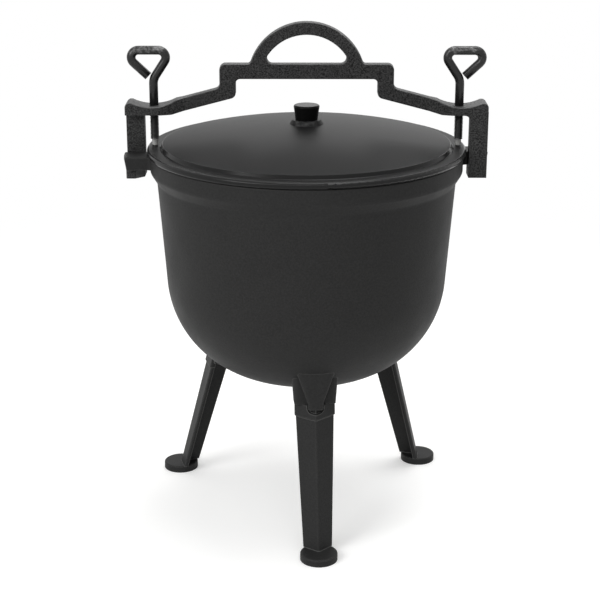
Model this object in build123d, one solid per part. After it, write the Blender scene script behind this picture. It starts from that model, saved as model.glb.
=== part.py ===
"""Cast iron cooking pot on three bolted legs, with a lid held down by a turning bail and two eye screws.

Millimetres, +Z up. The origin is on the floor, on the pot's axis. The front leg points along -Y and the
two lugs along X. The bail is drawn across X, then turned by the angle at which its hooks sit under the lugs.
"""
import os
from math import asin, cos, degrees, radians, sin, sqrt, tan

from build123d import *

# Clearances
SEAT_GAP = 0.3          # between castings that rest on each other but move apart
HOOK_GAP = 0.4          # hook under lug, and arm beside lug
SHAFT_GAP = 0.05        # radial, threaded or turning rod in its hole
HOLE_GAP = 0.3          # radial, plain bolt hole
NOTCH_GAP = 0.5         # each side of a stub in its leg

# Pot
SEAT_HEIGHT = 129.5     # floor to the leg plates that the pot's stubs stand on
BOTTOM_DROP = 4.5       # pot's lowest point below that seat
POT_HEIGHT = 216.0      # outside, lowest point to rim
POT_WALL = 5.0
WALL_TAPER = 4.2        # degrees from upright
CORNER_RADIUS = 98.0    # wall into bottom, outside
DISH_RADIUS = 210.0     # bottom, outside
RIM_RADIUS = 142.5
RIM_OVERHANG = 5.9      # rim band past the wall's top
RIM_BAND = 14.5         # upright face of the rim band
RIM_SLOPE = 9.5         # height of the slope from the band in to the wall
RIM_SLOPE_ROUND = 5.0
RIM_EDGE_ROUND = 1.5

# Lugs on the rim
LUG_WIDTH = 24.0
LUG_HEIGHT = 12.0
LUG_OVERREACH = 2.5     # past the bail's arm
LUG_DRAFT = 2.0
LUG_ROOT_ROUND = 3.5
LUG_TIP_ROUND = 3.0
LUG_EDGE_ROUND = 1.5

# Stubs under the pot, and the legs bolted to them
LEG_SIDES = ("front", "right", "left")
STUB_INSET = 36.2       # rim to a stub's outer face
STUB_LENGTH = 24.0      # radial length of the flat tip
STUB_WIDTH = 14.0
STUB_TIP_HEIGHT = 6.0
STUB_RISE = 38.5        # tip to the root inside the wall
STUB_ROOT_LENGTH = 32.0
STUB_ROOT_WIDTH = 36.0
STUB_ROUND = 3.0
STUB_SHOULDER_WIDTH = 37.5  # where the stub rests on the leg's head
STUB_SHOULDER_INSET = 8.0   # behind the stub's outer face
STUB_DRAFT = 4.0        # degrees, of the shoulders
LEG_SPLAY = 33.7        # outward run of a leg's ridge, from the stub to the foot plate
LEG_HALF_ANGLE = 50.0   # between one flange and the ridge's own radial plane
LEG_WALL = 4.0
LEG_FLANGE_TOP = 23.5
LEG_FLANGE_FOOT = 17.8
LEG_RIDGE_ROUND = 2.0
LEG_EDGE_ROUND = 1.5
HEAD_HEIGHT = 12.0
HEAD_LIP = 5.2          # head below the bolt plate
HEAD_PROUD = 1.2
HEAD_EDGE_ROUND = 1.0
NOTCH_ROUND = 4.0
PLATE_THICKNESS = 4.0
PLATE_TONGUE = 10.0     # plate behind the flanges' ends
FOOT_DIAMETER = 33.6
FOOT_THICKNESS = 6.7
FOOT_ROUND = 1.2

# Leg bolts
BOLT_DIAMETER = 6.0
BOLT_ACROSS_FLATS = 10.0
BOLT_HEAD = 4.0
BOLT_BITE = 12.0        # length in the stub
BOLT_HOLE_SPARE = 3.0   # blind hole past the bolt's end
BOLT_INSET = 15.5       # bolt axis inwards of the stub's outer face
BOLT_WASHER_DIAMETER = 12.0
BOLT_WASHER_THICKNESS = 1.6

# Lid
LID_OVERHANG = 2.5      # past the rim
FLANGE_THICKNESS = 5.7
FLANGE_ROUND = 2.4
FLANGE_WIDTH = 12.0     # flat ring that the screws press on
STEP_RUN = 2.0
STEP_HEIGHT = 3.5
STEP_ROUND = 1.5
DOME_RISE = 17.0        # top of the step to the dome's crown
LID_WALL = 5.0
LIP_DEPTH = 7.0         # below the flange, inside the pot's mouth
LIP_GAP = 1.2
BOSS_FOOT_RADIUS = 15.5
BOSS_TOP_RADIUS = 13.0
BOSS_RISE = 3.5         # above the crown
BOSS_SEAT_RADIUS = 10.0  # flat under the lid for the washer

# Knob and its screw
KNOB_FOOT_RADIUS = 10.0
KNOB_TOP_RADIUS = 12.0
KNOB_HEIGHT = 13.4
KNOB_ROUND = 1.5
KNOB_SCREW_DIAMETER = 6.0
KNOB_SCREW_BITE = 8.0
KNOB_HOLE_SPARE = 1.5
KNOB_SCREW_HEAD_DIAMETER = 11.0
KNOB_SCREW_HEAD = 3.6
KNOB_SCREW_HEAD_ROUND = 1.5
KNOB_WASHER_DIAMETER = 16.0
KNOB_WASHER_THICKNESS = 1.5

# Bail: heights are above the rim
BAR_BOTTOM = 67.3
BAR_HEIGHT = 13.6
BAIL_THICKNESS = 10.5
ARCH_RADIUS = 53.5      # outside of the carrying handle
ARCH_THICKNESS = 11.3
ARCH_CENTRE = 64.7
ARCH_ROOT_ROUND = 3.0
WINDOW_ROUND = 5.0
STEP_OUTER = 78.4       # half width over the step
STEP_WIDTH = 14.6
STEP_OUTER_ROUND = 5.5
STEP_INNER_ROUND = 4.0
SHOULDER_DEPTH = 12.3   # sloping arm, measured upright
SHOULDER_SLOPE = 14.7   # degrees
PAD_BOTTOM = 35.6
PAD_THICKNESS = 7.2     # at the screw, where the pad's top dips
PAD_INNER_RISE = 5.9    # sloping arm's top above the dip, where the dip starts
PAD_OUTER_RISE = 4.0    # outer end of the dip above its lowest point
PAD_CREST_RISE = 4.8    # crest above the dip
PAD_CREST_RUN = 6.0     # from the arm's outer face to the end of the dip
PAD_CREST_ROUND = 4.5
PAD_DEPTH = 24.0
FLARE_START = 36.5      # from the arm's inner face back along the sloping arm
FLARE_RUN = 21.0
FLARE_ROUND = 8.0
BAIL_EDGE_ROUND = 1.2
ARM_GAP = 2.3           # arm outside the lid
ARM_WIDTH = 16.4
ARM_OFFSET = 0.5        # arm's near face to the bail's middle plane
ARM_ROUND = 5.0
HOOK_THICKNESS = 9.2
HOOK_REACH = 16.0       # past the bail's middle plane
HOOK_CHAMFER = 8.0
HOOK_ROUND = 2.0
HOOK_LEAD_DROP = 3.0    # hook's tip below its top, where it meets the lug
HOOK_LEAD_RUN = 8.0

# Clamp screws: heights are above the lid's flange
SCREW_DIAMETER = 8.0
SCREW_INSET = 7.0       # screw axis inwards of the lid's edge
POINT_DIAMETER = 5.6
POINT_LENGTH = 6.0
POINT_CHAMFER = 0.6
EYE_BEND_HEIGHT = 60.3  # where the rod leaves its axis
EYE_TOP_HEIGHT = 86.2   # middle of the eye's top bar
EYE_INNER_LEAN = 33.5   # degrees from upright
EYE_OUTER_LEAN = 47.0
EYE_TOP_SPAN = 46.5     # top bar between its unrounded corners
EYE_CORNER_RADIUS = 6.5
EYE_BEND_RADIUS = 14.0
EYE_TIP_GAP = 0.5       # free end to the rod

# Heights and radii worked out from the sizes above
POT_BOTTOM = SEAT_HEIGHT - BOTTOM_DROP
RIM = POT_BOTTOM + POT_HEIGHT
WALL_TOP = RIM - RIM_BAND - RIM_SLOPE
WALL_TOP_RADIUS = RIM_RADIUS - RIM_OVERHANG
MOUTH_SLOPE = tan(radians(WALL_TAPER))
LID_RADIUS = RIM_RADIUS + LID_OVERHANG
FLANGE_BOTTOM = RIM + SEAT_GAP
FLANGE_TOP = FLANGE_BOTTOM + FLANGE_THICKNESS
STEP_RADIUS = LID_RADIUS - FLANGE_WIDTH
DOME_EDGE = STEP_RADIUS - STEP_RUN
DOME_FOOT = FLANGE_TOP + STEP_HEIGHT
DOME_RADIUS = (DOME_EDGE**2 + DOME_RISE**2) / (2 * DOME_RISE)
CROWN = DOME_FOOT + DOME_RISE
BOSS_TOP = CROWN + BOSS_RISE
BOSS_SEAT = CROWN - LID_WALL - KNOB_WASHER_THICKNESS / 2
ARM_INNER = LID_RADIUS + ARM_GAP
ARM_OUTER = ARM_INNER + ARM_WIDTH
LUG_REACH = ARM_OUTER + LUG_OVERREACH
LUG_BOTTOM = RIM - LUG_HEIGHT
SCREW_X = LID_RADIUS - SCREW_INSET
DIP = PAD_BOTTOM + PAD_THICKNESS
LOCK_ANGLE = degrees(asin((LUG_WIDTH / 2 + HOOK_GAP - ARM_OFFSET) / ARM_INNER))
STUB_RADIUS = RIM_RADIUS - STUB_INSET
LEG_FOOT_RADIUS = STUB_RADIUS + LEG_SPLAY
HEAD_BOTTOM = SEAT_HEIGHT - PLATE_THICKNESS - HEAD_LIP
HEAD_TOP = HEAD_BOTTOM + HEAD_HEIGHT
BOLT_RADIUS = STUB_RADIUS - BOLT_INSET
LEG_ANGLES = {side: 360 * place / len(LEG_SIDES) - 90 for place, side in enumerate(LEG_SIDES)}


def rounded(outline, corners):
    """Round the corners of a flat outline that lie at the given points."""
    for point, radius in corners:
        corner = outline.vertices().sort_by_distance(point)[0]
        outline = fillet(corner, radius)
    return outline


def turned(outline):
    """Revolve a half section, drawn as radius and height, about the pot's axis."""
    return revolve(Plane.XZ * outline, Axis.Z)


def bored(solid, radius, bottom, top, x=0.0):
    """Cut an upright round hole between two heights."""
    return solid - Pos(x, 0, (bottom + top) / 2) * Cylinder(radius, top - bottom)


def bowl_edges(inset):
    """Dish, corner and wall of the bowl, drawn in from the outer skin by inset, and the wall's top point."""
    taper = radians(WALL_TAPER)
    corner = CORNER_RADIUS - inset
    dish = DISH_RADIUS - inset
    bottom = POT_BOTTOM + inset
    wall_top_radius = WALL_TOP_RADIUS - inset / cos(taper)
    centre_drop = WALL_TOP - bottom - dish + corner * sin(taper)
    spare = wall_top_radius - MOUTH_SLOPE * centre_drop - corner * cos(taper)
    dish_angle = asin(spare * cos(taper) / (dish - corner)) - taper
    corner_centre = ((dish - corner) * sin(dish_angle), bottom + dish - (dish - corner) * cos(dish_angle))
    dish_arc = CenterArc((0, bottom + dish), dish, -90, degrees(dish_angle))
    corner_arc = CenterArc(corner_centre, corner, degrees(dish_angle) - 90, 90 - degrees(dish_angle + taper))
    wall_foot = corner_arc @ 1
    wall_top = (wall_top_radius, WALL_TOP)
    return [dish_arc, corner_arc, Line(wall_foot, wall_top)], wall_top


def mouth_radius(height):
    """Inner radius of the pot at a height above the wall's foot."""
    return WALL_TOP_RADIUS - POT_WALL / cos(radians(WALL_TAPER)) + MOUTH_SLOPE * (height - WALL_TOP)


def make_lugs():
    """Rim disc with a lug at each end, rounded into the rim and drafted at its tip."""
    plan = Circle(RIM_RADIUS) + Rectangle(2 * LUG_REACH, LUG_WIDTH)
    root_x = sqrt(RIM_RADIUS**2 - LUG_WIDTH**2 / 4)
    corners = []
    for side in (-1, 1):
        for end in (-1, 1):
            corners.append(((end * root_x, side * LUG_WIDTH / 2), LUG_ROOT_ROUND))
            corners.append(((end * LUG_REACH, side * LUG_WIDTH / 2), LUG_TIP_ROUND))
    plan = rounded(plan, corners)
    drafted = Pos(0, 0, LUG_BOTTOM + LUG_HEIGHT / 2) * Cone(LUG_REACH - LUG_DRAFT, LUG_REACH, LUG_HEIGHT)
    lugs = extrude(Pos(0, 0, LUG_BOTTOM) * plan, LUG_HEIGHT) & drafted
    return fillet(lugs.faces().sort_by(Axis.Z)[-1].edges(), LUG_EDGE_ROUND)


def make_stub():
    """Stub under the pot, on the +X side: a tongue on a leg's plate, and shoulders on the leg's head."""
    tip = RectangleRounded(STUB_LENGTH, STUB_WIDTH, STUB_ROUND)
    root = RectangleRounded(STUB_ROOT_LENGTH, STUB_ROOT_WIDTH, STUB_ROUND)
    tip_x = STUB_RADIUS - STUB_LENGTH / 2
    root_x = STUB_RADIUS - STUB_ROOT_LENGTH / 2
    flare_start = SEAT_HEIGHT + STUB_TIP_HEIGHT
    flare_top = SEAT_HEIGHT + STUB_RISE
    straight = extrude(Pos(tip_x, 0, SEAT_HEIGHT) * tip, STUB_TIP_HEIGHT)
    flare = loft([Pos(tip_x, 0, flare_start) * tip, Pos(root_x, 0, flare_top) * root], ruled=True)
    shoulder = RectangleRounded(STUB_LENGTH - STUB_SHOULDER_INSET, STUB_SHOULDER_WIDTH, STUB_ROUND)
    shoulder_x = tip_x - STUB_SHOULDER_INSET / 2
    shoulders = extrude(Pos(shoulder_x, 0, HEAD_TOP) * shoulder, flare_top - HEAD_TOP, taper=-STUB_DRAFT)
    return straight + flare + shoulders


def make_pot():
    """Bowl with a rim band, two lugs and three drilled stubs."""
    skin, wall_top = bowl_edges(0)
    band_foot = (RIM_RADIUS, RIM - RIM_BAND)
    rim_edge = (RIM_RADIUS, RIM)
    closing = Polyline(wall_top, band_foot, rim_edge, (0, RIM), (0, POT_BOTTOM))
    corners = [(wall_top, RIM_SLOPE_ROUND), (band_foot, RIM_SLOPE_ROUND), (rim_edge, RIM_EDGE_ROUND)]
    section = rounded(make_face(skin + closing.edges()), corners)
    pot = turned(section) + make_lugs()
    for angle in LEG_ANGLES.values():
        pot += Rot(0, 0, angle) * make_stub()
    lining, inner_top = bowl_edges(POT_WALL)
    mouth_top = RIM + RIM_BAND
    floor = (0, POT_BOTTOM + POT_WALL)
    mouth = Polyline(inner_top, (mouth_radius(mouth_top), mouth_top), (0, mouth_top), floor)
    pot -= turned(make_face(lining + mouth.edges()))
    depth = BOLT_BITE + BOLT_HOLE_SPARE
    hole = Pos(BOLT_RADIUS, 0, SEAT_HEIGHT + depth / 2) * Cylinder(BOLT_DIAMETER / 2 + SHAFT_GAP, depth)
    for angle in LEG_ANGLES.values():
        pot -= Rot(0, 0, angle) * hole
    return pot


def dome_point(radius, inset):
    """Point on the lid's dome, or on a skin drawn in from it by inset."""
    centre = CROWN - DOME_RADIUS
    return (radius, centre + sqrt((DOME_RADIUS - inset) ** 2 - radius**2))


def dome_arc(start, end, inset):
    """Arc of the dome between two radii."""
    middle = (start + end) / 2
    return ThreePointArc(dome_point(start, inset), dome_point(middle, inset), dome_point(end, inset))


def make_lid():
    """Flanged and domed lid with a boss for the knob and a lip that sits inside the mouth."""
    lip_bottom = FLANGE_BOTTOM - LIP_DEPTH
    lip_radius = mouth_radius(lip_bottom) - LIP_GAP
    lip_inner = lip_radius - LID_WALL
    bore = KNOB_SCREW_DIAMETER / 2 + HOLE_GAP
    edge_bottom = (LID_RADIUS, FLANGE_BOTTOM)
    edge_top = (LID_RADIUS, FLANGE_TOP)
    step_foot = (STEP_RADIUS, FLANGE_TOP)
    outside = Polyline(
        dome_point(lip_inner, LID_WALL), (lip_inner, lip_bottom), (lip_radius, lip_bottom),
        (lip_radius, FLANGE_BOTTOM), edge_bottom, edge_top, step_foot, dome_point(DOME_EDGE, 0),
    )
    crown = dome_arc(DOME_EDGE, BOSS_FOOT_RADIUS, 0)
    boss = Polyline(
        dome_point(BOSS_FOOT_RADIUS, 0), (BOSS_TOP_RADIUS, BOSS_TOP), (bore, BOSS_TOP),
        (bore, BOSS_SEAT), (BOSS_SEAT_RADIUS, BOSS_SEAT), dome_point(BOSS_SEAT_RADIUS, LID_WALL),
    )
    ceiling = dome_arc(BOSS_SEAT_RADIUS, lip_inner, LID_WALL)
    section = make_face(outside.edges() + [crown] + boss.edges() + [ceiling])
    corners = [(edge_bottom, FLANGE_ROUND), (edge_top, FLANGE_ROUND), (step_foot, STEP_ROUND)]
    return turned(rounded(section, corners))


def make_knob():
    """Knob that widens upwards, with a blind hole for its screw."""
    top = BOSS_TOP + KNOB_HEIGHT
    top_edge = (KNOB_TOP_RADIUS, top)
    outline = Polyline((0, BOSS_TOP), (KNOB_FOOT_RADIUS, BOSS_TOP), top_edge, (0, top), close=True)
    knob = turned(rounded(make_face(outline), [(top_edge, KNOB_ROUND)]))
    hole_top = BOSS_TOP + KNOB_SCREW_BITE + KNOB_HOLE_SPARE
    return bored(knob, KNOB_SCREW_DIAMETER / 2 + SHAFT_GAP, BOSS_TOP, hole_top)


def make_knob_washer():
    """Plain washer under the lid."""
    bottom = BOSS_SEAT - KNOB_WASHER_THICKNESS
    middle = (bottom + BOSS_SEAT) / 2
    disc = Pos(0, 0, middle) * Cylinder(KNOB_WASHER_DIAMETER / 2, KNOB_WASHER_THICKNESS)
    return bored(disc, KNOB_SCREW_DIAMETER / 2 + HOLE_GAP, bottom, BOSS_SEAT)


def make_knob_screw():
    """Round-headed screw up through the lid into the knob."""
    head_top = BOSS_SEAT - KNOB_WASHER_THICKNESS
    head_middle = head_top - KNOB_SCREW_HEAD / 2
    head = Pos(0, 0, head_middle) * Cylinder(KNOB_SCREW_HEAD_DIAMETER / 2, KNOB_SCREW_HEAD)
    head = fillet(head.edges().sort_by(Axis.Z)[0], KNOB_SCREW_HEAD_ROUND)
    length = BOSS_TOP + KNOB_SCREW_BITE - head_top
    return head + Pos(0, 0, head_top + length / 2) * Cylinder(KNOB_SCREW_DIAMETER / 2, length)


def ridge_radius(height):
    """Distance of a leg's ridge from the pot's axis."""
    splay = (LEG_FOOT_RADIUS - STUB_RADIUS) / (SEAT_HEIGHT - FOOT_THICKNESS)
    return STUB_RADIUS + splay * (SEAT_HEIGHT - height)


def angle_section(height, flange, proud=0.0):
    """Angle-iron section of a leg at a height, ridge outwards along +X."""
    across = sin(radians(LEG_HALF_ANGLE))
    along = cos(radians(LEG_HALF_ANGLE))
    ridge = ridge_radius(height) + proud / across
    wall = LEG_WALL + proud
    reach = flange + proud
    tip = (ridge - reach * along, reach * across)
    heel = (tip[0] - wall * across, tip[1] - wall * along)
    far_tip = (tip[0], -tip[1])
    far_heel = (heel[0], -heel[1])
    crook = (ridge - wall / across, 0)
    outline = make_face(Polyline((ridge, 0), tip, heel, crook, far_heel, far_tip, close=True))
    corners = [((ridge, 0), LEG_RIDGE_ROUND), (tip, LEG_EDGE_ROUND), (far_tip, LEG_EDGE_ROUND)]
    return Pos(0, 0, height) * rounded(outline, corners)


def make_leg():
    """Splayed angle leg on the +X side, with a notched head, a bolt plate and a round foot."""
    plate_bottom = SEAT_HEIGHT - PLATE_THICKNESS
    ankle = angle_section(FOOT_THICKNESS, LEG_FLANGE_FOOT)
    shaft = loft([ankle, angle_section(plate_bottom, LEG_FLANGE_TOP)], ruled=True)
    head_sections = [angle_section(height, LEG_FLANGE_TOP, HEAD_PROUD) for height in (HEAD_BOTTOM, HEAD_TOP)]
    head = loft(head_sections, ruled=True)
    head = fillet(head.edges().group_by(Axis.Z)[0] + head.edges().group_by(Axis.Z)[-1], HEAD_EDGE_ROUND)
    notch_width = STUB_WIDTH + 2 * NOTCH_GAP
    notch_tall = 2 * HEAD_HEIGHT
    notch = Pos(0, plate_bottom + notch_tall / 2) * RectangleRounded(notch_width, notch_tall, NOTCH_ROUND)
    head -= extrude(Plane.YZ * notch, 2 * STUB_RADIUS)
    half_angle = radians(LEG_HALF_ANGLE)
    middle = ridge_radius(plate_bottom) - LEG_WALL / 2 / sin(half_angle)
    end_x = middle - LEG_FLANGE_TOP * cos(half_angle)
    end_y = (middle - end_x) * tan(half_angle)
    back_x = end_x - PLATE_TONGUE
    tongue = [(end_x, end_y), (back_x, PLATE_TONGUE), (back_x, -PLATE_TONGUE), (end_x, -end_y)]
    plate_outline = make_face(Polyline((middle, 0), *tongue, close=True))
    plate = extrude(Pos(0, 0, plate_bottom) * plate_outline, PLATE_THICKNESS)
    plate = bored(plate, BOLT_DIAMETER / 2 + HOLE_GAP, plate_bottom, SEAT_HEIGHT, BOLT_RADIUS)
    foot = Pos(LEG_FOOT_RADIUS, 0, FOOT_THICKNESS / 2) * Cylinder(FOOT_DIAMETER / 2, FOOT_THICKNESS)
    foot = fillet(foot.edges().sort_by(Axis.Z)[-1], FOOT_ROUND)
    return shaft + head + plate + foot


def make_leg_bolt():
    """Hexagon bolt up through the leg's plate into the stub."""
    head_top = SEAT_HEIGHT - PLATE_THICKNESS - BOLT_WASHER_THICKNESS
    hexagon = RegularPolygon(BOLT_ACROSS_FLATS / 2, 6, major_radius=False)
    head = extrude(Pos(BOLT_RADIUS, 0, head_top - BOLT_HEAD) * hexagon, BOLT_HEAD)
    length = SEAT_HEIGHT + BOLT_BITE - head_top
    return head + Pos(BOLT_RADIUS, 0, head_top + length / 2) * Cylinder(BOLT_DIAMETER / 2, length)


def make_leg_washer():
    """Plain washer under the leg's plate."""
    top = SEAT_HEIGHT - PLATE_THICKNESS
    bottom = top - BOLT_WASHER_THICKNESS
    middle = (top + bottom) / 2
    disc = Pos(BOLT_RADIUS, 0, middle) * Cylinder(BOLT_WASHER_DIAMETER / 2, BOLT_WASHER_THICKNESS)
    return bored(disc, BOLT_DIAMETER / 2 + HOLE_GAP, bottom, top, BOLT_RADIUS)


def beam_outline():
    """Front outline of the bail from the step out to the pads, one half, as x and height above the rim."""
    slope = tan(radians(SHOULDER_SLOPE))
    bar_top = BAR_BOTTOM + BAR_HEIGHT
    step_inner = STEP_OUTER - STEP_WIDTH
    dip_end_x = ARM_OUTER - PAD_CREST_RUN
    dip_start_x = 2 * SCREW_X - dip_end_x
    dip_start = (dip_start_x, DIP + PAD_INNER_RISE)
    dip_end = (dip_end_x, DIP + PAD_OUTER_RISE)
    crest = (ARM_OUTER, DIP + PAD_CREST_RISE)
    shoulder = (STEP_OUTER, dip_start[1] + slope * (dip_start_x - STEP_OUTER))
    underside = shoulder[1] - SHOULDER_DEPTH
    armpit = (step_inner, underside + slope * STEP_WIDTH)
    pad_start = STEP_OUTER + (underside - PAD_BOTTOM) / slope
    step_top = (STEP_OUTER, bar_top)
    step_under = (step_inner, BAR_BOTTOM)
    upper = Polyline((0, bar_top), step_top, shoulder, dip_start)
    dip = ThreePointArc(dip_start, (SCREW_X, DIP), dip_end)
    end = Polyline(dip_end, crest, (ARM_OUTER, PAD_BOTTOM), (pad_start, PAD_BOTTOM))
    lower = Polyline((pad_start, PAD_BOTTOM), armpit, step_under, (0, BAR_BOTTOM), (0, bar_top))
    half = make_face(upper.edges() + [dip] + end.edges() + lower.edges())
    return rounded(half, [
        (step_top, STEP_OUTER_ROUND), (shoulder, STEP_OUTER_ROUND), (armpit, STEP_OUTER_ROUND),
        (step_under, STEP_INNER_ROUND), (crest, PAD_CREST_ROUND),
    ])


def bail_outline():
    """Front outline of the whole bail above its arms, with the carrying handle and its window."""
    half = beam_outline()
    beam = half + mirror(half, Plane.YZ)
    bar_top = BAR_BOTTOM + BAR_HEIGHT
    above_bar = Pos(0, bar_top + ARCH_RADIUS / 2) * Rectangle(2 * ARCH_RADIUS, ARCH_RADIUS)
    arch = (Pos(0, ARCH_CENTRE) * Circle(ARCH_RADIUS)) & above_bar
    window_radius = ARCH_RADIUS - ARCH_THICKNESS
    window = (Pos(0, ARCH_CENTRE) * Circle(window_radius)) & above_bar
    rise = bar_top - ARCH_CENTRE
    arch_half = sqrt(ARCH_RADIUS**2 - rise**2)
    window_half = sqrt(window_radius**2 - rise**2)
    window = rounded(window, [((side * window_half, bar_top), WINDOW_ROUND) for side in (-1, 1)])
    outline = rounded(beam + arch, [((side * arch_half, bar_top), ARCH_ROOT_ROUND) for side in (-1, 1)])
    return outline - window


def bail_plan():
    """Outline of the bail from above: a plain bar that flares out to a deep pad at each end."""
    flare_start = ARM_INNER - FLARE_START
    creases = [(flare_start, BAIL_THICKNESS / 2), (flare_start + FLARE_RUN, PAD_DEPTH / 2)]
    quarter = creases + [(ARM_OUTER, PAD_DEPTH / 2)]
    right = quarter + [(x, -y) for x, y in reversed(quarter)]
    left = [(-x, -y) for x, y in right]
    plan = make_face(Polyline(*right, *left, close=True))
    corners = []
    for x, y in creases:
        corners += [((side * x, face * y), FLARE_ROUND) for side in (-1, 1) for face in (-1, 1)]
    return rounded(plan, corners)


def is_outline(edge):
    """True for the bail's front and back outline edges, but not at the pads' undersides and ends."""
    start = edge @ 0
    end = edge @ 1
    crosses = start.Y * end.Y < 0
    underside = max(start.Z, end.Z) < PAD_BOTTOM + SEAT_GAP
    upright = abs(start.X - end.X) + abs(start.Y - end.Y) < SEAT_GAP
    return not (crosses or underside or upright and abs(start.X) > STEP_OUTER + SEAT_GAP)


def make_arm():
    """Right arm with its hook: down from the pad, then across under the lug."""
    bottom = LUG_BOTTOM - RIM - HOOK_GAP - HOOK_THICKNESS
    arm_middle = (ARM_INNER + ARM_OUTER) / 2
    arm_height = PAD_BOTTOM - bottom
    upright = Pos(arm_middle, bottom + arm_height / 2) * Rectangle(ARM_WIDTH, arm_height)
    root_height = PAD_THICKNESS / 2
    root_width = ARM_OUTER - SCREW_X
    root = Pos(ARM_OUTER - root_width / 2, PAD_BOTTOM + root_height / 2) * Rectangle(root_width, root_height)
    profile = rounded(upright + root, [((ARM_INNER, PAD_BOTTOM), ARM_ROUND)])
    arm_depth = PAD_DEPTH / 2 - ARM_OFFSET
    arm = extrude(Plane.XZ.offset(ARM_OFFSET) * profile, arm_depth)
    near = -PAD_DEPTH / 2
    chamfer_start = (ARM_INNER + HOOK_CHAMFER, HOOK_REACH)
    chamfer_end = (ARM_INNER, HOOK_REACH - HOOK_CHAMFER)
    tip = [(ARM_OUTER, HOOK_REACH), chamfer_start, chamfer_end]
    hook_plan = make_face(Polyline((ARM_OUTER, near), *tip, (ARM_INNER, near), close=True))
    hook_plan = rounded(hook_plan, [(corner, HOOK_ROUND) for corner in tip])
    hook = extrude(Pos(0, 0, bottom) * hook_plan, HOOK_THICKNESS)
    hook_top = bottom + HOOK_THICKNESS
    lead_start = (HOOK_REACH - HOOK_LEAD_RUN, hook_top)
    lead_end = (HOOK_REACH, hook_top - HOOK_LEAD_DROP)
    lead = make_face(Polyline(lead_start, (HOOK_REACH, hook_top), lead_end, close=True))
    hook -= extrude(Plane.YZ * lead, 2 * ARM_OUTER)
    return arm + hook


def make_bail():
    """Carrying handle, bar, sloping arms and pads in one casting, with a hooked arm at each end."""
    front = extrude(Plane.XZ * bail_outline(), PAD_DEPTH / 2, both=True)
    tall = extrude(bail_plan(), ARCH_CENTRE + ARCH_RADIUS)
    bail = front & tall
    bail = fillet(bail.edges().filter_by(is_outline), BAIL_EDGE_ROUND)
    for turn in (0, 180):
        bail += Rot(0, 0, turn) * make_arm()
    for side in (-1, 1):
        bail = bored(bail, SCREW_DIAMETER / 2 + SHAFT_GAP, 0, BAR_BOTTOM, side * SCREW_X)
    return Pos(0, 0, RIM) * bail


def make_clamp_screw():
    """Right eye screw: rod bent into a rounded triangle, with a narrower bare point."""
    radius = SCREW_DIAMETER / 2
    inner_lean = radians(EYE_INNER_LEAN)
    outer_lean = radians(EYE_OUTER_LEAN)
    eye_rise = EYE_TOP_HEIGHT - EYE_BEND_HEIGHT
    inner_corner = -eye_rise * tan(inner_lean)
    outer_corner = inner_corner + EYE_TOP_SPAN
    across = sin(inner_lean + outer_lean)
    apart = EYE_TOP_SPAN * cos(inner_lean)
    limb = (apart - radius - EYE_TIP_GAP - radius * abs(cos(inner_lean + outer_lean))) / across
    tip = (outer_corner - limb * sin(outer_lean), EYE_TOP_HEIGHT - limb * cos(outer_lean))
    top = [(inner_corner, EYE_TOP_HEIGHT), (outer_corner, EYE_TOP_HEIGHT)]
    bends = [EYE_BEND_RADIUS, EYE_CORNER_RADIUS, EYE_CORNER_RADIUS]
    path = Plane.XZ * FilletPolyline((0, POINT_LENGTH), (0, EYE_BEND_HEIGHT), *top, tip, radius=bends)
    rod = sweep(Pos(0, 0, POINT_LENGTH) * Circle(radius), path=path)
    point = Pos(0, 0, POINT_LENGTH / 2) * Cylinder(POINT_DIAMETER / 2, POINT_LENGTH)
    point = chamfer(point.edges().sort_by(Axis.Z)[0], POINT_CHAMFER)
    return Pos(SCREW_X, 0, FLANGE_TOP + SEAT_GAP) * (rod + point)


locked = Rot(0, 0, -LOCK_ANGLE)
clamp_screw = make_clamp_screw()
nodes = {
    "pot": make_pot(),
    "lid": make_lid(),
    "lid_knob": make_knob(),
    "lid_knob_washer": make_knob_washer(),
    "lid_knob_screw": make_knob_screw(),
    "clamp_bail": locked * make_bail(),
    "clamp_screw_right": locked * clamp_screw,
    "clamp_screw_left": locked * Rot(0, 0, 180) * clamp_screw,
}
leg, bolt, washer = make_leg(), make_leg_bolt(), make_leg_washer()
for side, angle in LEG_ANGLES.items():
    nodes[f"leg_{side}"] = Rot(0, 0, angle) * leg
    nodes[f"leg_bolt_{side}"] = Rot(0, 0, angle) * bolt
    nodes[f"leg_washer_{side}"] = Rot(0, 0, angle) * washer

os.makedirs("parts", exist_ok=True)
for name, solid in nodes.items():
    export_step(solid, f"parts/{name}.step")
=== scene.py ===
import math

import bmesh
import bpy
from mathutils import Matrix, Vector


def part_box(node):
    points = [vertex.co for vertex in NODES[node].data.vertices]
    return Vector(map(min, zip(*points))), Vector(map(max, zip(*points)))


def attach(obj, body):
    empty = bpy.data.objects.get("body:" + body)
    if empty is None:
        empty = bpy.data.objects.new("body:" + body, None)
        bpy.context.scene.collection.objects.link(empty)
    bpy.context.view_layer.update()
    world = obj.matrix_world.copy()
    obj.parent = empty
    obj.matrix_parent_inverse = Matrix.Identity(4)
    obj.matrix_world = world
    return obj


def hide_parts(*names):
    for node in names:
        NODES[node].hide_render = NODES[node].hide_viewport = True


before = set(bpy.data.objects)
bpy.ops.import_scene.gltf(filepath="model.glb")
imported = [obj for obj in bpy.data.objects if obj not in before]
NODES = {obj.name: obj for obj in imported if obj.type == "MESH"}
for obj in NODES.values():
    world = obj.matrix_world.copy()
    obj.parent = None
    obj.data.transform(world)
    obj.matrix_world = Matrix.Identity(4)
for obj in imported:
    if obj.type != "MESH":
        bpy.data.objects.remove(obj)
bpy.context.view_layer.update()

# Camera, with its place given in a frame turned with the bail, which it faces squarely
BAIL_HEADING = math.radians(-4.634)
CAMERA_PLACE = (-0.0058, -1.378, 0.655)
CAMERA_DIP = math.radians(18.25)
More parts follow.
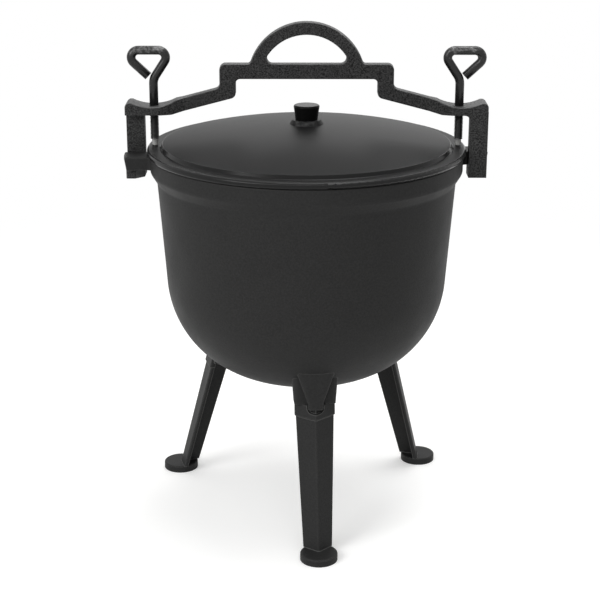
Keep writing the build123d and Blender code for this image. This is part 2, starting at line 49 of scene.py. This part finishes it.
CAMERA_ROLL = 0.001
LENS_MM = 92.4
SENSOR_MM = 36.0

# Floor, in metres, which fades to plain white between two distances from the object
FLOOR_SIZE = 14.0
FADE_START = 0.35
FADE_END = 1.1
PAPER_GLOW = 0.26

# Light: the surround's level, and each lamp's place, width and height in metres and power in watts
SKY_LEVEL = 0.44
LAMPS = {
    "key_softbox": ((-1.9, -1.5, 1.5), 1.2, 1.2, 33.0),
    "front_strip": ((-0.4, -2.2, 1.6), 2.2, 0.4, 13.0),
    "top_softbox": ((0.3, 0.2, 2.2), 1.2, 1.2, 22.0),
    "back_softbox": ((0.45, 2.1, 1.25), 1.6, 0.9, 6.5),
}
LAMP_TARGET = (0.0, 0.0, 0.25)

# Sand grain of the castings, in millimetres, drawn coarser than the real grain so that it shows in the render
POT_GRIT_MM = 1.6
LEG_GRIT_MM = 1.4
LID_GRIT_MM = 1.5
BAIL_GRAIN_MM = 1.0
WEAR_WIDTH = 0.0014        # rubbed strip along the edges of the pot and legs, in metres

# Lid, in metres: where its edge starts to round, and the step up to the dome, inside the flange's edge
LID_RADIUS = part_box("lid")[1].y
EDGE_INSET = 0.0020
EDGE_BLEND = 0.0004
STEP_FOOT_INSET = 0.0117
STEP_TOP_INSET = 0.0144
BOSS_RADIUS = 0.0165
BOSS_BLEND = 0.001

# Clamp screws, in metres: the bare point, and the rubbed stretch below the top of the eye
POINT_LENGTH = 0.006
POINT_BLEND = 0.0003
RUBBED_FROM = 0.014
RUBBED_TO = 0.002

# Their thread, in metres: M8 with its usual pitch, from the point's shoulder up into the pad
THREAD_PITCH = 0.00125
THREAD_RADIUS = 0.004
THREAD_CORE = 0.0033
THREAD_CREST = 0.00022      # width of a tooth's flat crest
THREAD_ROOT_SHARE = 0.94    # width of a tooth's root, as a share of the pitch
THREAD_ROOT_SINK = 0.00012  # root below the core's surface, so that the two join
THREAD_STEPS = 24
THREAD_TURNS = 23
THREAD_RUN_OUT = 0.0006
SAME_PLACE = 1e-6


def linear(hex_colour):
    """Turns an sRGB hex value into linear RGBA."""
    channels = [int(hex_colour[i:i + 2], 16) / 255 for i in (1, 3, 5)]
    return [c / 12.92 if c <= 0.04045 else ((c + 0.055) / 1.055) ** 2.4 for c in channels] + [1.0]


def per_metre(size_mm):
    """Texture scale whose features are that many millimetres across."""
    return 1000.0 / size_mm


def add_node(tree, kind, inputs=None, **settings):
    """Adds a node, with its settings, and with each input either linked or set to a value."""
    node = tree.nodes.new("ShaderNode" + kind)
    for name, value in settings.items():
        setattr(node, name, value)
    for name, value in (inputs or {}).items():
        if isinstance(value, bpy.types.NodeSocket):
            tree.links.new(value, node.inputs[name])
        else:
            node.inputs[name].default_value = value
    return node


def new_material(name):
    """A material with an empty node tree and its output."""
    material = bpy.data.materials.new(name)
    material.use_nodes = True
    material.node_tree.nodes.clear()
    output = add_node(material.node_tree, "OutputMaterial")
    return material, material.node_tree, output


def cast_iron(name, colour, light, grit_mm, grit_depth_mm, roughness, gloss, speck_share, wear_share):
    """Sand moulded cast iron, blackened: soft cloudy patches, sand grit, and edges rubbed a little paler."""
    material, tree, output = new_material(name)
    place = add_node(tree, "TexCoord").outputs["Object"]
    clouds = add_node(tree, "TexNoise", {
        "Vector": place, "Scale": per_metre(38), "Detail": 4.0, "Roughness": 0.55})
    grit = add_node(tree, "TexNoise", {
        "Vector": place, "Scale": per_metre(grit_mm), "Detail": 3.0, "Roughness": 0.6})
    specks = add_node(tree, "MapRange", {
        "Value": grit.outputs["Fac"], "From Min": 0.35, "From Max": 0.7,
        "To Min": 0.0, "To Max": speck_share})
    rounded = add_node(tree, "Bevel", {"Radius": WEAR_WIDTH}, samples=6)
    surface = add_node(tree, "NewGeometry")
    agreement = add_node(tree, "VectorMath", {
        0: rounded.outputs["Normal"], 1: surface.outputs["Normal"]}, operation="DOT_PRODUCT")
    wear = add_node(tree, "MapRange", {
        "Value": agreement.outputs["Value"], "From Min": 0.998, "From Max": 0.94,
        "To Min": 0.0, "To Max": wear_share})
    base = add_node(tree, "Mix", {
        0: clouds.outputs["Fac"], 6: linear(colour), 7: linear(light)}, data_type="RGBA")
    speckled = add_node(tree, "Mix", {
        0: specks.outputs["Result"], 6: base.outputs[2], 7: linear("#6a6a69")}, data_type="RGBA")
    worn = add_node(tree, "Mix", {
        0: wear.outputs["Result"], 6: speckled.outputs[2], 7: linear("#8a8a88")}, data_type="RGBA")
    rough = add_node(tree, "MapRange", {
        "Value": clouds.outputs["Fac"], "From Min": 0.3, "From Max": 0.7,
        "To Min": roughness - 0.05, "To Max": roughness + 0.06})
    bump = add_node(tree, "Bump", {
        "Strength": 1.0, "Distance": grit_depth_mm / 1000, "Height": grit.outputs["Fac"],
        "Normal": rounded.outputs["Normal"]})
    shader = add_node(tree, "BsdfPrincipled", {
        "Base Color": worn.outputs[2], "Roughness": rough.outputs["Result"],
        "Normal": bump.outputs["Normal"], "Specular IOR Level": gloss})
    tree.links.new(shader.outputs[0], output.inputs["Surface"])
    return material


def sand_cast_bail():
    """Cast iron from a coarse sand mould, blackened: dark and pale grain, with rounded edges painted paler,
    partly as rubbed wear and partly as a painted highlight, and faces turned upwards painted paler as a
    painted highlight from above.
    """
    material, tree, output = new_material("coarse_sand_cast_iron_bail")
    coordinates = add_node(tree, "TexCoord")
    place = coordinates.outputs["Object"]
    grain = add_node(tree, "TexNoise", {
        "Vector": place, "Scale": per_metre(BAIL_GRAIN_MM), "Detail": 3.0, "Roughness": 0.65})
    patches = add_node(tree, "TexNoise", {"Vector": place, "Scale": per_metre(14), "Detail": 4.0})
    tone = add_node(tree, "MapRange", {
        "Value": grain.outputs["Fac"], "From Min": 0.42, "From Max": 0.58, "To Min": 0.0, "To Max": 1.0})
    iron = add_node(tree, "Mix", {
        0: tone.outputs["Result"], 6: linear("#050505"), 7: linear("#3b3b3b")}, data_type="RGBA")
    # The flat faces look along this line, the tops square to it, and the rounded edges lie in between
    across = (-math.sin(BAIL_HEADING), math.cos(BAIL_HEADING), 0.0)
    lean = add_node(tree, "VectorMath", {
        0: coordinates.outputs["Normal"], 1: across}, operation="DOT_PRODUCT")
    steepness = add_node(tree, "Math", {0: lean.outputs["Value"]}, operation="ABSOLUTE")
    past_top = add_node(tree, "MapRange", {
        "Value": steepness.outputs["Value"], "From Min": 0.08, "From Max": 0.30,
        "To Min": 0.0, "To Max": 1.0})
    before_face = add_node(tree, "MapRange", {
        "Value": steepness.outputs["Value"], "From Min": 0.72, "From Max": 0.88,
        "To Min": 1.0, "To Max": 0.0})
    # Rounded edges between the tops and the flat faces are painted paler: partly rubbed wear, partly a
    # painted highlight along them
    edge = add_node(tree, "Math", {
        0: past_top.outputs["Result"], 1: before_face.outputs["Result"]}, operation="MULTIPLY")
    patchy_share = add_node(tree, "MapRange", {
        "Value": patches.outputs["Fac"], "From Min": 0.35, "From Max": 0.65,
        "To Min": 0.40, "To Max": 0.85})
    facing = add_node(tree, "SeparateXYZ", {"Vector": coordinates.outputs["Normal"]})
    # Painted highlight: faces turned upwards are painted paler, as if lit from above
    painted_top_light = add_node(tree, "MapRange", {
        "Value": facing.outputs["Z"], "From Min": 0.45, "From Max": 0.75, "To Min": 0.0, "To Max": 0.30})
    wear_and_painted_highlight = add_node(tree, "Math", {
        0: edge.outputs["Value"], 1: painted_top_light.outputs["Result"]}, operation="MAXIMUM")
    rubbed_and_painted_highlight = add_node(tree, "Math", {
        0: wear_and_painted_highlight.outputs["Value"], 1: patchy_share.outputs["Result"]}, operation="MULTIPLY")
    # The pale colour holds rubbed wear on the rounded edges and painted highlight on the edges and tops
    colour = add_node(tree, "Mix", {
        0: rubbed_and_painted_highlight.outputs["Value"], 6: iron.outputs[2], 7: linear("#727272")}, data_type="RGBA")
    rough = add_node(tree, "MapRange", {
        "Value": rubbed_and_painted_highlight.outputs["Value"], "From Min": 0.0, "From Max": 1.0, "To Min": 0.55, "To Max": 0.38})
    bump = add_node(tree, "Bump", {"Strength": 1.0, "Distance": 0.00022, "Height": grain.outputs["Fac"]})
    shader = add_node(tree, "BsdfPrincipled", {
        "Base Color": colour.outputs[2], "Roughness": rough.outputs["Result"],
        "Normal": bump.outputs["Normal"], "Specular IOR Level": 0.16})
    tree.links.new(shader.outputs[0], output.inputs["Surface"])
    return material


def satin_lid():
    """Satin black cast iron: smoother and glossier on the flange's edge and the step, rubbed on the boss."""
    material, tree, output = new_material("satin_cast_iron_lid")
    place = add_node(tree, "TexCoord").outputs["Object"]
    clouds = add_node(tree, "TexNoise", {
        "Vector": place, "Scale": per_metre(45), "Detail": 4.0, "Roughness": 0.55})
    grit = add_node(tree, "TexNoise", {
        "Vector": place, "Scale": per_metre(LID_GRIT_MM), "Detail": 3.0, "Roughness": 0.6})
    flat_place = add_node(tree, "VectorMath", {0: place, 1: (1.0, 1.0, 0.0)}, operation="MULTIPLY")
    reach = add_node(tree, "VectorMath", {0: flat_place.outputs["Vector"]}, operation="LENGTH")
    radius = reach.outputs["Value"]
    edge_start = LID_RADIUS - EDGE_INSET
    rim = add_node(tree, "MapRange", {
        "Value": radius, "From Min": edge_start - EDGE_BLEND, "From Max": edge_start + EDGE_BLEND,
        "To Min": 0.0, "To Max": 1.0})
    past_dome = add_node(tree, "Math", {0: radius, 1: LID_RADIUS - STEP_TOP_INSET}, operation="GREATER_THAN")
    before_ring = add_node(tree, "Math", {0: radius, 1: LID_RADIUS - STEP_FOOT_INSET}, operation="LESS_THAN")
    riser = add_node(tree, "Math", {
        0: past_dome.outputs["Value"], 1: before_ring.outputs["Value"]}, operation="MULTIPLY")
    on_boss = add_node(tree, "MapRange", {
        "Value": radius, "From Min": BOSS_RADIUS, "From Max": BOSS_RADIUS - BOSS_BLEND,
        "To Min": 0.0, "To Max": 1.0})
    scuffs = add_node(tree, "TexNoise", {"Vector": place, "Scale": per_metre(6), "Detail": 4.0})
    scuffed = add_node(tree, "MapRange", {
        "Value": scuffs.outputs["Fac"], "From Min": 0.46, "From Max": 0.62, "To Min": 0.0, "To Max": 0.2})
    bare = add_node(tree, "Math", {
        0: on_boss.outputs["Result"], 1: scuffed.outputs["Result"]}, operation="MULTIPLY")
    iron = add_node(tree, "Mix", {
        0: clouds.outputs["Fac"], 6: linear("#0c0c0c"), 7: linear("#141414")}, data_type="RGBA")
    smooth = add_node(tree, "Math", {
        0: rim.outputs["Result"], 1: riser.outputs["Value"]}, operation="MAXIMUM")
    stepped = add_node(tree, "Mix", {
        0: riser.outputs["Value"], 6: iron.outputs[2], 7: linear("#161616")}, data_type="RGBA")
    edged = add_node(tree, "Mix", {
        0: rim.outputs["Result"], 6: stepped.outputs[2], 7: linear("#1c1c1c")}, data_type="RGBA")
    colour = add_node(tree, "Mix", {
        0: bare.outputs["Value"], 6: edged.outputs[2], 7: linear("#6a6a6a")}, data_type="RGBA")
    rough = add_node(tree, "MapRange", {
        "Value": smooth.outputs["Value"], "From Min": 0.0, "From Max": 1.0, "To Min": 0.52, "To Max": 0.22})
    bump = add_node(tree, "Bump", {"Strength": 1.0, "Distance": 0.00006, "Height": grit.outputs["Fac"]})
    shader = add_node(tree, "BsdfPrincipled", {
        "Base Color": colour.outputs[2], "Roughness": rough.outputs["Result"],
        "Normal": bump.outputs["Normal"], "Specular IOR Level": 0.13})
    tree.links.new(shader.outputs[0], output.inputs["Surface"])
    return material


def enamelled_knob():
    """Black stove enamel on a turned knob: even, glossier than the castings, with faint turning rings."""
    material, tree, output = new_material("black_enamel")
    place = add_node(tree, "TexCoord").outputs["Object"]
    rings = add_node(tree, "Mapping", {"Vector": place, "Scale": (60.0, 60.0, per_metre(0.8))})
    turning = add_node(tree, "TexNoise", {"Vector": rings.outputs["Vector"], "Scale": 1.0, "Detail": 2.0})
    colour = add_node(tree, "Mix", {
        0: turning.outputs["Fac"], 6: linear("#080808"), 7: linear("#0e0e0e")}, data_type="RGBA")
    bump = add_node(tree, "Bump", {"Strength": 0.6, "Distance": 0.00006, "Height": turning.outputs["Fac"]})
    shader = add_node(tree, "BsdfPrincipled", {
        "Base Color": colour.outputs[2], "Roughness": 0.30, "Normal": bump.outputs["Normal"],
        "Specular IOR Level": 0.06})
    tree.links.new(shader.outputs[0], output.inputs["Surface"])
    return material


def painted_rod(tip_top, bar_low, bar_high):
    """Bent steel rod in black paint, rubbed bare on the eye's top bar and turned bright at its point."""
    material, tree, output = new_material("painted_steel_rod")
    place = add_node(tree, "TexCoord").outputs["Object"]
    height = add_node(tree, "SeparateXYZ", {"Vector": place}).outputs["Z"]
    scuffs = add_node(tree, "TexNoise", {
        "Vector": place, "Scale": per_metre(5), "Detail": 5.0, "Roughness": 0.65})
    streaks = add_node(tree, "TexNoise", {
        "Vector": place, "Scale": per_metre(1.4), "Detail": 3.0})
    raised = add_node(tree, "MapRange", {
        "Value": height, "From Min": bar_low, "From Max": bar_high, "To Min": -0.16, "To Max": 0.06})
    scuffed = add_node(tree, "Math", {
        0: scuffs.outputs["Fac"], 1: raised.outputs["Result"]}, operation="ADD")
    patches = add_node(tree, "MapRange", {
        "Value": scuffed.outputs["Value"], "From Min": 0.50, "From Max": 0.70,
        "To Min": 0.0, "To Max": 0.6})
    point = add_node(tree, "MapRange", {
        "Value": height, "From Min": tip_top + POINT_BLEND, "From Max": tip_top - POINT_BLEND,
        "To Min": 0.0, "To Max": 1.0})
    bare = add_node(tree, "Math", {
        0: patches.outputs["Result"], 1: point.outputs["Result"]}, operation="MAXIMUM")
    steel = add_node(tree, "Mix", {
        0: point.outputs["Result"], 6: linear("#8c8c8c"), 7: linear("#bcbcba")}, data_type="RGBA")
    paint = add_node(tree, "Mix", {
        0: streaks.outputs["Fac"], 6: linear("#0c0c0c"), 7: linear("#1c1c1c")}, data_type="RGBA")
    colour = add_node(tree, "Mix", {
        0: bare.outputs["Value"], 6: paint.outputs[2], 7: steel.outputs[2]}, data_type="RGBA")
    rough = add_node(tree, "MapRange", {
        "Value": streaks.outputs["Fac"], "From Min": 0.3, "From Max": 0.7, "To Min": 0.26, "To Max": 0.42})
    bump = add_node(tree, "Bump", {"Strength": 0.8, "Distance": 0.00008, "Height": streaks.outputs["Fac"]})
    shader = add_node(tree, "BsdfPrincipled", {
        "Base Color": colour.outputs[2], "Metallic": patches.outputs["Result"],
        "Roughness": rough.outputs["Result"], "Normal": bump.outputs["Normal"], "Specular IOR Level": 0.34})
    tree.links.new(shader.outputs[0], output.inputs["Surface"])
    return material


def plated_steel():
    """Zinc plated steel fasteners: pale grey, slightly clouded, with fine drawing marks."""
    material, tree, output = new_material("zinc_plated_steel")
    place = add_node(tree, "TexCoord").outputs["Object"]
    clouds = add_node(tree, "TexNoise", {"Vector": place, "Scale": per_metre(4), "Detail": 4.0})
    colour = add_node(tree, "Mix", {
        0: clouds.outputs["Fac"], 6: linear("#8d8f91"), 7: linear("#b4b6b7")}, data_type="RGBA")
    bump = add_node(tree, "Bump", {"Strength": 0.5, "Distance": 0.00005, "Height": clouds.outputs["Fac"]})
    shader = add_node(tree, "BsdfPrincipled", {
        "Base Color": colour.outputs[2], "Metallic": 1.0, "Roughness": 0.38,
        "Normal": bump.outputs["Normal"]})
    tree.links.new(shader.outputs[0], output.inputs["Surface"])
    return material


def dress(node, material):
    """Gives a CAD node its finish."""
    for slot in NODES[node].material_slots:
        slot.material = material


def dress_pot_and_legs():
    """Iron on the pot and the legs, and plated steel on all hidden fasteners."""
    pot_iron = cast_iron(
        "blackened_cast_iron_pot", colour="#1c1c1c", light="#242424", grit_mm=POT_GRIT_MM, grit_depth_mm=0.10,
        roughness=0.55, gloss=0.12, speck_share=0.05, wear_share=0.15)
    leg_iron = cast_iron(
        "blackened_cast_iron_leg", colour="#1c1c1c", light="#262626", grit_mm=LEG_GRIT_MM, grit_depth_mm=0.12,
        roughness=0.55, gloss=0.12, speck_share=0.06, wear_share=0.30)
    bolt_steel = plated_steel()
    dress("pot", pot_iron)
    for side in ("front", "left", "right"):
        dress("leg_" + side, leg_iron)
        dress("leg_bolt_" + side, bolt_steel)
        dress("leg_washer_" + side, bolt_steel)
    dress("lid_knob_screw", bolt_steel)
    dress("lid_knob_washer", bolt_steel)


def dress_lid():
    """Satin iron on the lid, and enamel on its knob."""
    dress("lid", satin_lid())
    dress("lid_knob", enamelled_knob())


def pick(obj, wanted):
    """Selects the vertices that a test wants, and nothing else, and leaves the object in edit mode."""
    bpy.ops.object.select_all(action="DESELECT")
    obj.select_set(True)
    bpy.context.view_layer.objects.active = obj
    bpy.ops.object.mode_set(mode="EDIT")
    bpy.ops.mesh.select_mode(type="VERT")
    shape = bmesh.from_edit_mesh(obj.data)
    for vertex in shape.verts:
        vertex.select_set(wanted(vertex.co))
    shape.select_flush(True)
    bmesh.update_edit_mesh(obj.data)


def cut_thread():
    """The screws' helical thread, standing on the origin: one tooth's outline, wound up the rod."""
    tooth = THREAD_RADIUS - THREAD_CORE + THREAD_ROOT_SINK
    root_width = THREAD_ROOT_SHARE * THREAD_PITCH
    bpy.ops.object.select_all(action="DESELECT")
    bpy.ops.mesh.primitive_plane_add(size=1.0, rotation=(math.radians(90), 0.0, 0.0))
    thread = bpy.context.object
    thread.name = "thread"
    thread.scale = (tooth, root_width, 1.0)
    thread.location = (THREAD_RADIUS - tooth / 2, 0.0, 0.0)
    bpy.ops.object.transform_apply()
    pick(thread, lambda place: place.x > THREAD_RADIUS - tooth / 2)
    bpy.ops.transform.resize(value=(1.0, 1.0, THREAD_CREST / root_width), center_override=(0.0, 0.0, 0.0))
    bpy.ops.mesh.select_all(action="SELECT")
    bpy.ops.mesh.delete(type="ONLY_FACE")
    bpy.ops.object.mode_set(mode="OBJECT")
    winding = thread.modifiers.new("winding", "SCREW")
    winding.screw_offset = THREAD_PITCH
    winding.iterations = THREAD_TURNS
    winding.steps = THREAD_STEPS
    winding.render_steps = THREAD_STEPS
    winding.use_smooth_shade = False
    bpy.ops.object.modifier_apply(modifier=winding.name)
    bpy.ops.object.mode_set(mode="EDIT")
    bpy.ops.mesh.select_all(action="SELECT")
    bpy.ops.mesh.fill_holes(sides=4)
    bpy.ops.mesh.select_all(action="SELECT")
    bpy.ops.mesh.normals_make_consistent(inside=False)
    bpy.ops.object.mode_set(mode="OBJECT")
    return thread


def add_clamp_screw(side, thread, finish):
    """A clamp screw with its thread cut into the shaft, in place of the CAD node's plain rod."""
    node = "clamp_screw_" + side
    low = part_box(node)[0]
    shaft = [vertex.co for vertex in NODES[node].data.vertices if vertex.co.z < low.z + POINT_LENGTH]
    axis = sum(shaft, Vector()) / len(shaft)
    bottom = low.z + POINT_LENGTH + THREAD_PITCH
    top = bottom + THREAD_TURNS * THREAD_PITCH
    screw = bpy.data.objects.new("threaded_screw_" + side, NODES[node].data.copy())
    bpy.context.scene.collection.objects.link(screw)
    pick(screw, lambda place: True)
    bpy.ops.mesh.remove_doubles(threshold=SAME_PLACE)
    ends = (bottom - THREAD_PITCH / 2, top + THREAD_PITCH / 2)
    core_ends = (ends[0] + THREAD_RUN_OUT, ends[1] - THREAD_RUN_OUT)
    for height in ends + core_ends:
        bpy.ops.mesh.select_all(action="SELECT")
        bpy.ops.mesh.bisect(plane_co=(0.0, 0.0, height), plane_no=(0.0, 0.0, 1.0))
    bpy.ops.object.mode_set(mode="OBJECT")
    pick(screw, lambda place: core_ends[0] - SAME_PLACE < place.z < core_ends[1] + SAME_PLACE)
    share = THREAD_CORE / THREAD_RADIUS
    bpy.ops.transform.resize(value=(share, share, 1.0), center_override=(axis.x, axis.y, 0.0))
    bpy.ops.object.mode_set(mode="OBJECT")
    ridge = thread.copy()
    ridge.data = thread.data.copy()
    ridge.location = (axis.x, axis.y, bottom)
    bpy.context.scene.collection.objects.link(ridge)
    joined = screw.modifiers.new("thread", "BOOLEAN")
    joined.operation = "UNION"
    joined.object = ridge
    bpy.ops.object.modifier_apply(modifier=joined.name)
    bpy.data.objects.remove(ridge)
    bpy.ops.object.shade_smooth_by_angle(angle=math.radians(30))
    screw.data.materials.clear()
    screw.data.materials.append(finish)
    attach(screw, "screw_" + side)
    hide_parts(node)


def dress_bail_and_screws():
    """Coarse iron on the bail, and the two threaded screws in their paint."""
    dress("clamp_bail", sand_cast_bail())
    low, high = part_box("clamp_screw_left")
    rod = painted_rod(low.z + POINT_LENGTH, high.z - RUBBED_FROM, high.z - RUBBED_TO)
    thread = cut_thread()
    add_clamp_screw("left", thread, rod)
    add_clamp_screw("right", thread, rod)
    bpy.data.objects.remove(thread)


def add_camera():
    """The camera at the photograph's viewing angle."""
    camera = bpy.data.objects.new("camera", bpy.data.cameras.new("camera"))
    camera.data.sensor_width = SENSOR_MM
    camera.data.lens = LENS_MM
    turn = Matrix.Rotation(BAIL_HEADING, 4, "Z")
    tilt = Matrix.Rotation(math.radians(90) - CAMERA_DIP, 4, "X")
    roll = Matrix.Rotation(CAMERA_ROLL, 4, "Z")
    camera.matrix_world = turn @ Matrix.Translation(CAMERA_PLACE) @ tilt @ roll
    bpy.context.scene.collection.objects.link(camera)
    bpy.context.scene.camera = camera


def pale_rays(tree):
    """One for the rays that see the background: camera, glossy and transmission rays."""
    path = add_node(tree, "LightPath")
    seen = add_node(tree, "Math", {
        0: path.outputs["Is Camera Ray"], 1: path.outputs["Is Glossy Ray"]}, operation="MAXIMUM")
    pale = add_node(tree, "Math", {
        0: seen.outputs["Value"], 1: path.outputs["Is Transmission Ray"]}, operation="MAXIMUM")
    return pale.outputs["Value"]


def add_sky():
    """A white surround to look at, which lights the object at a lower level."""
    world = bpy.data.worlds.new("studio")
    bpy.context.scene.world = world
    world.use_nodes = True
    tree = world.node_tree
    tree.nodes.clear()
    output = add_node(tree, "OutputWorld")
    level = add_node(tree, "MapRange", {
        "Value": pale_rays(tree), "From Min": 0.0, "From Max": 1.0, "To Min": SKY_LEVEL, "To Max": 1.0})
    sky = add_node(tree, "Background", {"Color": linear("#ffffff"), "Strength": level.outputs["Result"]})
    tree.links.new(sky.outputs[0], output.inputs["Surface"])


def add_floor():
    """A pale paper floor, lifted towards white where it is looked at, which keeps the object's shadow."""
    bpy.ops.object.select_all(action="DESELECT")
    bpy.ops.mesh.primitive_plane_add(size=FLOOR_SIZE)
    floor = bpy.context.object
    floor.name = "studio_floor"
    material, tree, output = new_material("white_paper_floor")
    seen = pale_rays(tree)
    paper = add_node(tree, "BsdfDiffuse", {"Color": linear("#f6f6f5")})
    lift = add_node(tree, "Math", {0: seen, 1: PAPER_GLOW}, operation="MULTIPLY")
    glow = add_node(tree, "Emission", {"Color": linear("#ffffff"), "Strength": lift.outputs["Value"]})
    lit_paper = add_node(tree, "AddShader", {0: paper.outputs[0], 1: glow.outputs[0]})
    place = add_node(tree, "TexCoord").outputs["Object"]
    distance = add_node(tree, "VectorMath", {0: place}, operation="LENGTH")
    far = add_node(tree, "MapRange", {
        "Value": distance.outputs["Value"], "From Min": FADE_START, "From Max": FADE_END,
        "To Min": 0.0, "To Max": 1.0}, interpolation_type="SMOOTHSTEP")
    seen_far = add_node(tree, "Math", {0: far.outputs["Result"], 1: seen}, operation="MULTIPLY")
    white = add_node(tree, "Emission", {"Color": linear("#ffffff"), "Strength": 1.0})
    mixed = add_node(tree, "MixShader", {
        0: seen_far.outputs["Value"], 1: lit_paper.outputs[0], 2: white.outputs[0]})
    tree.links.new(mixed.outputs[0], output.inputs["Surface"])
    floor.data.materials.append(material)


def add_lamps():
    """Soft area lamps, all aimed at the middle of the object."""
    for name, (place, width, height, power) in LAMPS.items():
        lamp = bpy.data.objects.new(name, bpy.data.lights.new(name, "AREA"))
        lamp.data.shape = "RECTANGLE"
        lamp.data.size = width
        lamp.data.size_y = height
        lamp.data.energy = power
        lamp.location = place
        aim = Vector(LAMP_TARGET) - lamp.location
        lamp.rotation_euler = aim.to_track_quat("-Z", "Y").to_euler()
        bpy.context.scene.collection.objects.link(lamp)


dress_pot_and_legs()
dress_lid()
dress_bail_and_screws()
add_camera()
add_sky()
add_floor()
add_lamps()
bpy.context.scene.view_settings.view_transform = "Standard"
